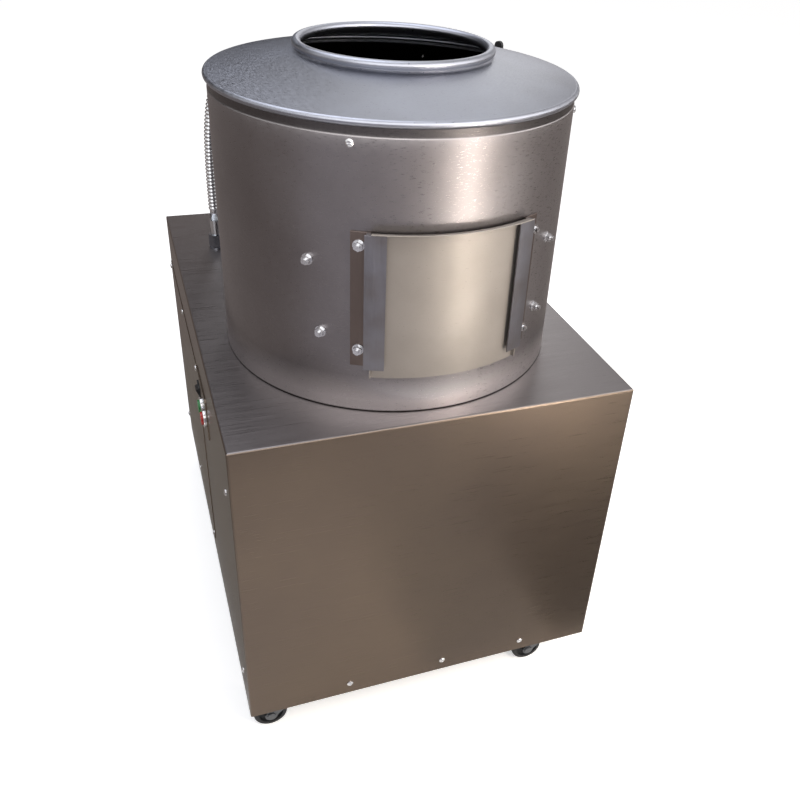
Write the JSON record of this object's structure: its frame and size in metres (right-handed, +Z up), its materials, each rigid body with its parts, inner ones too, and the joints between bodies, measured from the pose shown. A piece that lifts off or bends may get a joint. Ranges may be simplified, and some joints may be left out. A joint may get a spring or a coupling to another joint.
{
  "type": "electric potato peeler",
  "caption": "Electric potato peeler: abrasive drum with sliding discharge door on a wheeled cabinet, hose-fed water valve, belt-driven disc.",
  "frame": {"origin": "on the floor under the middle of the bounding box", "axes": "+Z up, front with the discharge door towards -Y, +X to the right seen from the front"},
  "size_m": [0.5526, 0.7916, 0.9336],
  "materials": {
    "frame_paint": "satin black-grey primer paint",
    "cabinet_steel": "fine brushed stainless sheet",
    "cover_steel": "fine brushed stainless sheet",
    "screw_zinc": "bright zinc-plated",
    "caster_zinc": "zinc-plated pressing",
    "caster_rubber": "dull black rubber",
    "drum_steel": "cold-rolled stainless sheet",
    "grit_lining": "abrasive grit in resin",
    "bolt_steel": "plated",
    "lid_steel": "spun stainless",
    "rail_steel": "satin stainless strip",
    "seal_rubber": "black rubber",
    "door_steel": "satin stainless",
    "cast_aluminium": "sand-cast",
    "grit_disc": "coarse abrasive grit",
    "polished_cap": "turned",
    "ground_shaft": "ground bar",
    "cast_iron_paint": "machined casting",
    "housing_paint": "green-grey machine paint",
    "black_bolt": "blackened",
    "bearing_steel": "ground",
    "belt_rubber": "fabric-faced rubber",
    "motor_paint": "blue-grey machine paint",
    "fan_plastic": "moulded",
    "drain_steel": "drawn tube",
    "brass_fitting": "turned",
    "fitting_chrome": "plated",
    "hose_steel": "corrugated stainless tube",
    "valve_nickel": "nickel-plated brass",
    "lever_sleeve": "vinyl dipped",
    "black_plastic": "moulded",
    "ring_chrome": "plated",
    "start_green": "moulded",
    "stop_red": "moulded",
    "rocker_plastic": "moulded"
  },
  "bodies": {
    "root": {"base_frame": "frame_paint", "cabinet_skin": "cabinet_steel", "left_cover": "cover_steel", "right_cover": "cover_steel", "back_cover": "cover_steel", "cabinet_screws": "screw_zinc", "caster_plates": "caster_zinc", "caster_bolts": "screw_zinc", "drum_wall": "drum_steel", "drum_floor": "drum_steel", "drum_lining": "grit_lining", "lining_bolts": "bolt_steel", "lid": "lid_steel", "lid_screws": "screw_zinc", "door_rail_left": "rail_steel", "door_rail_right": "rail_steel", "rail_bolts": "bolt_steel", "door_seal": "seal_rubber", "bearing_housing": "housing_paint", "housing_bolts": "black_bolt", "shaft_bearings": "bearing_steel", "shaft_seal": "seal_rubber", "drive_belt": "belt_rubber", "motor_body": "motor_paint", "motor_fan_cover": "motor_paint", "terminal_box": "motor_paint", "motor_plate": "frame_paint", "motor_bolts": "black_bolt", "drain_pipe": "drain_steel", "inlet_pipe": "brass_fitting", "deck_fitting": "fitting_chrome", "water_hose": "hose_steel", "hose_ferrules": "fitting_chrome", "inlet_valve": "valve_nickel", "spray_nozzle": "brass_fitting", "control_plate": "cover_steel", "switch_housing": "black_plastic", "button_rings": "ring_chrome", "cable_gland": "black_plastic"},
    "door": {"discharge_door": "door_steel"},
    "disc": {"disc_casting": "cast_aluminium", "disc_abrasive": "grit_disc", "disc_cap": "polished_cap", "main_shaft": "ground_shaft", "driven_pulley": "cast_iron_paint"},
    "motor_rotor": {"motor_shaft": "ground_shaft", "motor_fan": "fan_plastic", "drive_pulley": "cast_iron_paint"},
    "rocker": {"rocker": "rocker_plastic"},
    "start_button": {"start_button": "start_green"},
    "stop_button": {"stop_button": "stop_red"},
    "valve_lever": {"valve_lever": "lever_sleeve"},
    "fork_fl": {"caster_fork_fl": "caster_zinc"},
    "wheel_fl": {"caster_wheel_fl": "caster_rubber"},
    "fork_fr": {"caster_fork_fr": "caster_zinc"},
    "wheel_fr": {"caster_wheel_fr": "caster_rubber"},
    "fork_bl": {"caster_fork_bl": "caster_zinc"},
    "wheel_bl": {"caster_wheel_bl": "caster_rubber"},
    "fork_br": {"caster_fork_br": "caster_zinc"},
    "wheel_br": {"caster_wheel_br": "caster_rubber"}
  },
  "joints": [
    {"name": "door_slide", "type": "slide", "parent": "root", "child": "door", "axis": [0, 0, 1], "range_m": [0, 0.1]},
    {"name": "disc_spin", "type": "hinge", "parent": "root", "child": "disc", "pos_m": [0.0027, -0.1394, 0.537], "axis": [0, 0, 1], "continuous": true},
    {"name": "motor_spin", "type": "hinge", "parent": "root", "child": "motor_rotor", "pos_m": [0.0027, 0.1716, 0.3], "axis": [0, 0, 1], "continuous": true},
    {"name": "rocker_tip", "type": "hinge", "parent": "root", "child": "rocker", "pos_m": [-0.2683, -0.09096, 0.432], "axis": [0, 1, 0], "range_deg": [0, 18]},
    {"name": "start_push", "type": "slide", "parent": "root", "child": "start_button", "axis": [1, 0, 0], "range_m": [0, 0.003], "stiffness_N_per_m": 500, "springref_m": -0.001},
    {"name": "stop_push", "type": "slide", "parent": "root", "child": "stop_button", "axis": [1, 0, 0], "range_m": [0, 0.003], "stiffness_N_per_m": 500, "springref_m": -0.001},
    {"name": "valve_turn", "type": "hinge", "parent": "root", "child": "valve_lever", "pos_m": [0.2028, 0.02001, 0.837], "axis": [-0.866, -0.5, 0], "range_deg": [0, 90]},
    {"name": "swivel_fl", "type": "hinge", "parent": "root", "child": "fork_fl", "pos_m": [-0.2093, -0.3554, 0.055], "axis": [0, 0, 1], "continuous": true},
    {"name": "roll_fl", "type": "hinge", "parent": "fork_fl", "child": "wheel_fl", "pos_m": [-0.2353, -0.3554, 0.025], "axis": [0, 1, 0], "continuous": true},
    {"name": "swivel_fr", "type": "hinge", "parent": "root", "child": "fork_fr", "pos_m": [0.2147, -0.3554, 0.055], "axis": [0, 0, 1], "continuous": true},
    {"name": "roll_fr", "type": "hinge", "parent": "fork_fr", "child": "wheel_fr", "pos_m": [0.1887, -0.3554, 0.025], "axis": [0, 1, 0], "continuous": true},
    {"name": "swivel_bl", "type": "hinge", "parent": "root", "child": "fork_bl", "pos_m": [-0.2093, 0.3186, 0.055], "axis": [0, 0, 1], "continuous": true},
    {"name": "roll_bl", "type": "hinge", "parent": "fork_bl", "child": "wheel_bl", "pos_m": [-0.2353, 0.3186, 0.025], "axis": [0, 1, 0], "continuous": true},
    {"name": "swivel_br", "type": "hinge", "parent": "root", "child": "fork_br", "pos_m": [0.2147, 0.3186, 0.055], "axis": [0, 0, 1], "continuous": true},
    {"name": "roll_br", "type": "hinge", "parent": "fork_br", "child": "wheel_br", "pos_m": [0.1887, 0.3186, 0.025], "axis": [0, 1, 0], "continuous": true}
  ],
  "couplings": [
    {"joint": "motor_spin", "follows": "disc_spin", "ratio": 3.3333}
  ]
}
